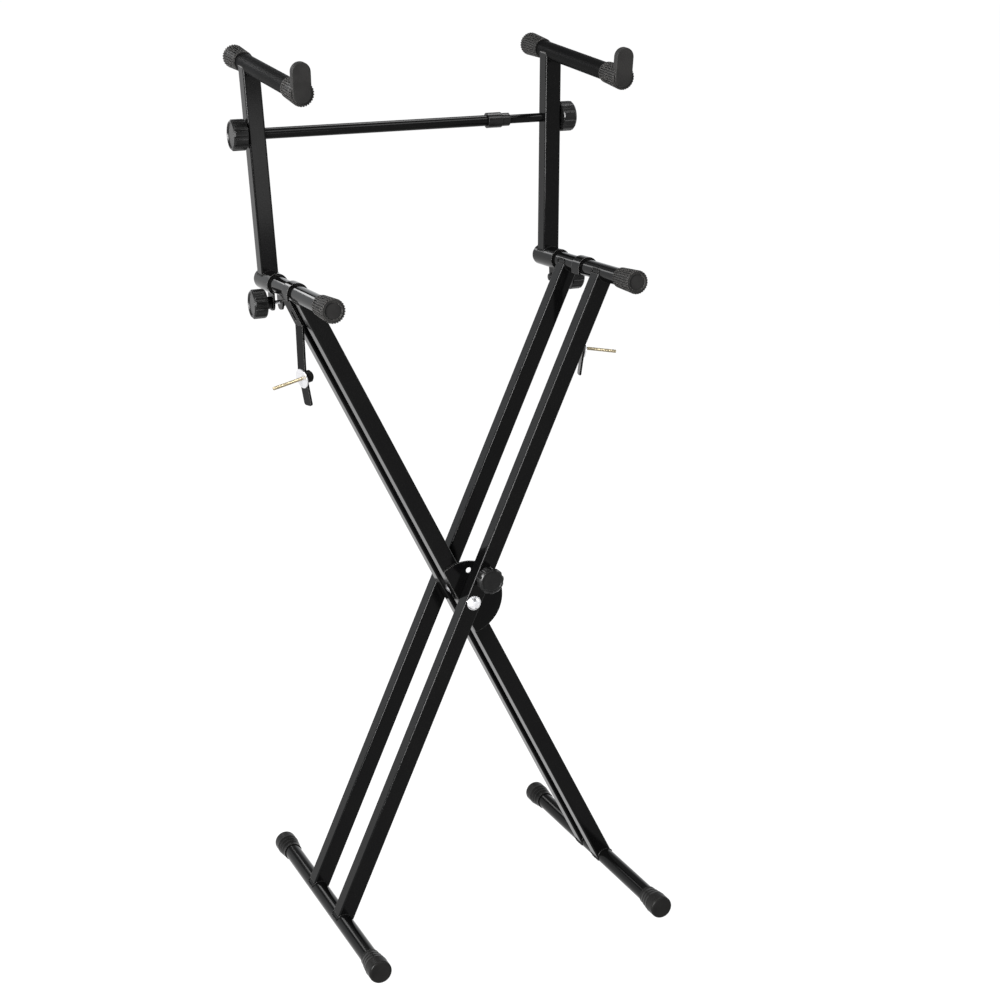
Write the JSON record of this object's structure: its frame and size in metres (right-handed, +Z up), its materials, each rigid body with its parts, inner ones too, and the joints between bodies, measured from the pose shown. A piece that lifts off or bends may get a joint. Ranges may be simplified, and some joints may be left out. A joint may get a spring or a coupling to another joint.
{
  "type": "keyboard stand",
  "caption": "Folding crossed-leg keyboard stand with paired square-tube legs, round support bars, rubber caps and a clamp-on upper tier tied by a telescoping cross bar.",
  "frame": {"origin": "on the floor, under the middle of the stand", "axes": "+Z up, +Y to the rear away from the player, +X to the right as the player faces it"},
  "size_m": [0.5276, 0.468, 1.2698],
  "materials": {
    "gloss_black_paint": "gloss powder coat",
    "matte_black_coat": "satin powder coat",
    "black_rubber": "matte moulded rubber",
    "black_plastic": "moulded plastic",
    "zinc_steel": "bright zinc plating",
    "yellow_zinc_screw": "yellow passivated zinc"
  },
  "bodies": {
    "outer_frame": {"outer_front_tube": "gloss_black_paint", "outer_rear_tube": "gloss_black_paint", "outer_foot_bar": "gloss_black_paint", "outer_foot_cap_front": "black_rubber", "outer_foot_cap_rear": "black_rubber", "outer_top_bar": "gloss_black_paint", "outer_top_cap": "black_rubber", "outer_top_plug": "black_plastic", "pivot_bolt": "zinc_steel", "pivot_nut": "zinc_steel", "pivot_washers": "zinc_steel", "lock_bush": "zinc_steel"},
    "inner_frame": {"inner_front_tube": "gloss_black_paint", "inner_rear_tube": "gloss_black_paint", "inner_foot_bar": "gloss_black_paint", "inner_foot_cap_front": "black_rubber", "inner_foot_cap_rear": "black_rubber", "inner_top_bar": "gloss_black_paint", "inner_top_cap": "black_rubber", "inner_top_plug": "black_plastic", "pivot_sleeve": "zinc_steel", "lock_plate": "gloss_black_paint"},
    "lock_plunger": {"lock_pin": "zinc_steel", "lock_knob": "black_plastic"},
    "cross_bar_collar": {"cross_collar": "black_plastic"},
    "left_tier": {"left_saddle": "gloss_black_paint", "left_clamp_nut": "black_plastic", "left_upright": "gloss_black_paint", "left_arm": "matte_black_coat", "left_arm_stop_cap": "black_rubber", "left_arm_rear_cap": "black_rubber", "cross_tube": "gloss_black_paint", "cross_insert": "zinc_steel"},
    "left_hook_strap": {"left_hook": "gloss_black_paint", "left_brace_strap": "gloss_black_paint", "left_brace_washer": "zinc_steel"},
    "left_clamp_screw": {"left_clamp_knob": "black_plastic", "left_clamp_bolt": "zinc_steel"},
    "left_cross_screw": {"left_cross_knob": "black_plastic", "left_cross_stud": "zinc_steel"},
    "left_brace_adjuster": {"left_brace_screw": "yellow_zinc_screw", "left_brace_foot": "black_rubber"},
    "right_tier": {"right_saddle": "gloss_black_paint", "right_clamp_nut": "black_plastic", "right_upright": "gloss_black_paint", "right_arm": "matte_black_coat", "right_arm_stop_cap": "black_rubber", "right_arm_rear_cap": "black_rubber", "cross_rod": "gloss_black_paint"},
    "right_hook_strap": {"right_hook": "gloss_black_paint", "right_brace_strap": "gloss_black_paint", "right_brace_washer": "zinc_steel"},
    "right_clamp_screw": {"right_clamp_knob": "black_plastic", "right_clamp_bolt": "zinc_steel"},
    "right_cross_screw": {"right_cross_knob": "black_plastic", "right_cross_stud": "zinc_steel"},
    "right_brace_adjuster": {"right_brace_screw": "yellow_zinc_screw", "right_brace_foot": "black_rubber"}
  },
  "joints": [
    {"name": "fold", "type": "hinge", "parent": "outer_frame", "child": "inner_frame", "pos_m": [0, 0, 0.47832], "axis": [0, -1, 0], "range_deg": [0, 40]},
    {"name": "left_tier_turn", "type": "hinge", "parent": "inner_frame", "child": "left_tier", "pos_m": [-0.22042, 0, 0.94045], "axis": [0, -1, 0], "range_deg": [-20, 0]},
    {"name": "right_tier_turn", "type": "hinge", "parent": "outer_frame", "child": "right_tier", "pos_m": [0.22042, 0, 0.94045], "axis": [0, -1, 0], "range_deg": [0, 20]},
    {"name": "lock_push", "type": "slide", "parent": "outer_frame", "child": "lock_plunger", "axis": [0, 1, 0], "range_m": [0, 0.005]},
    {"name": "collar_twist", "type": "hinge", "parent": "left_tier", "child": "cross_bar_collar", "pos_m": [0.14, 0.134, 1.14845], "axis": [1, 0, 0], "range_deg": [0, 90]},
    {"name": "left_strap_swing", "type": "hinge", "parent": "inner_frame", "child": "left_hook_strap", "pos_m": [-0.22042, 0, 0.94045], "axis": [0, -1, 0], "range_deg": [-30, 3]},
    {"name": "left_brace_travel", "type": "slide", "parent": "left_hook_strap", "child": "left_brace_adjuster", "axis": [0.954, 0.2556, 0.1564], "range_m": [0, 0.01]},
    {"name": "left_clamp_turn", "type": "hinge", "parent": "left_tier", "child": "left_clamp_screw", "pos_m": [-0.24042, 0.1005, 0.91345], "axis": [-1, 0, 0], "continuous": true},
    {"name": "left_cross_turn", "type": "hinge", "parent": "left_tier", "child": "left_cross_screw", "pos_m": [-0.22768, 0.134, 1.14845], "axis": [-1, 0, 0], "continuous": true},
    {"name": "right_strap_swing", "type": "hinge", "parent": "outer_frame", "child": "right_hook_strap", "pos_m": [0.22042, 0, 0.94045], "axis": [0, 1, 0], "range_deg": [-30, 3]},
    {"name": "right_brace_travel", "type": "slide", "parent": "right_hook_strap", "child": "right_brace_adjuster", "axis": [-0.954, 0.2556, 0.1564], "range_m": [0, 0.01]},
    {"name": "right_clamp_turn", "type": "hinge", "parent": "right_tier", "child": "right_clamp_screw", "pos_m": [0.24042, 0.1005, 0.91345], "axis": [1, 0, 0], "continuous": true},
    {"name": "right_cross_turn", "type": "hinge", "parent": "right_tier", "child": "right_cross_screw", "pos_m": [0.22768, 0.134, 1.14845], "axis": [1, 0, 0], "continuous": true}
  ],
  "couplings": [
    {"joint": "left_tier_turn", "follows": "fold", "ratio": -0.5},
    {"joint": "right_tier_turn", "follows": "fold", "ratio": 0.5}
  ]
}
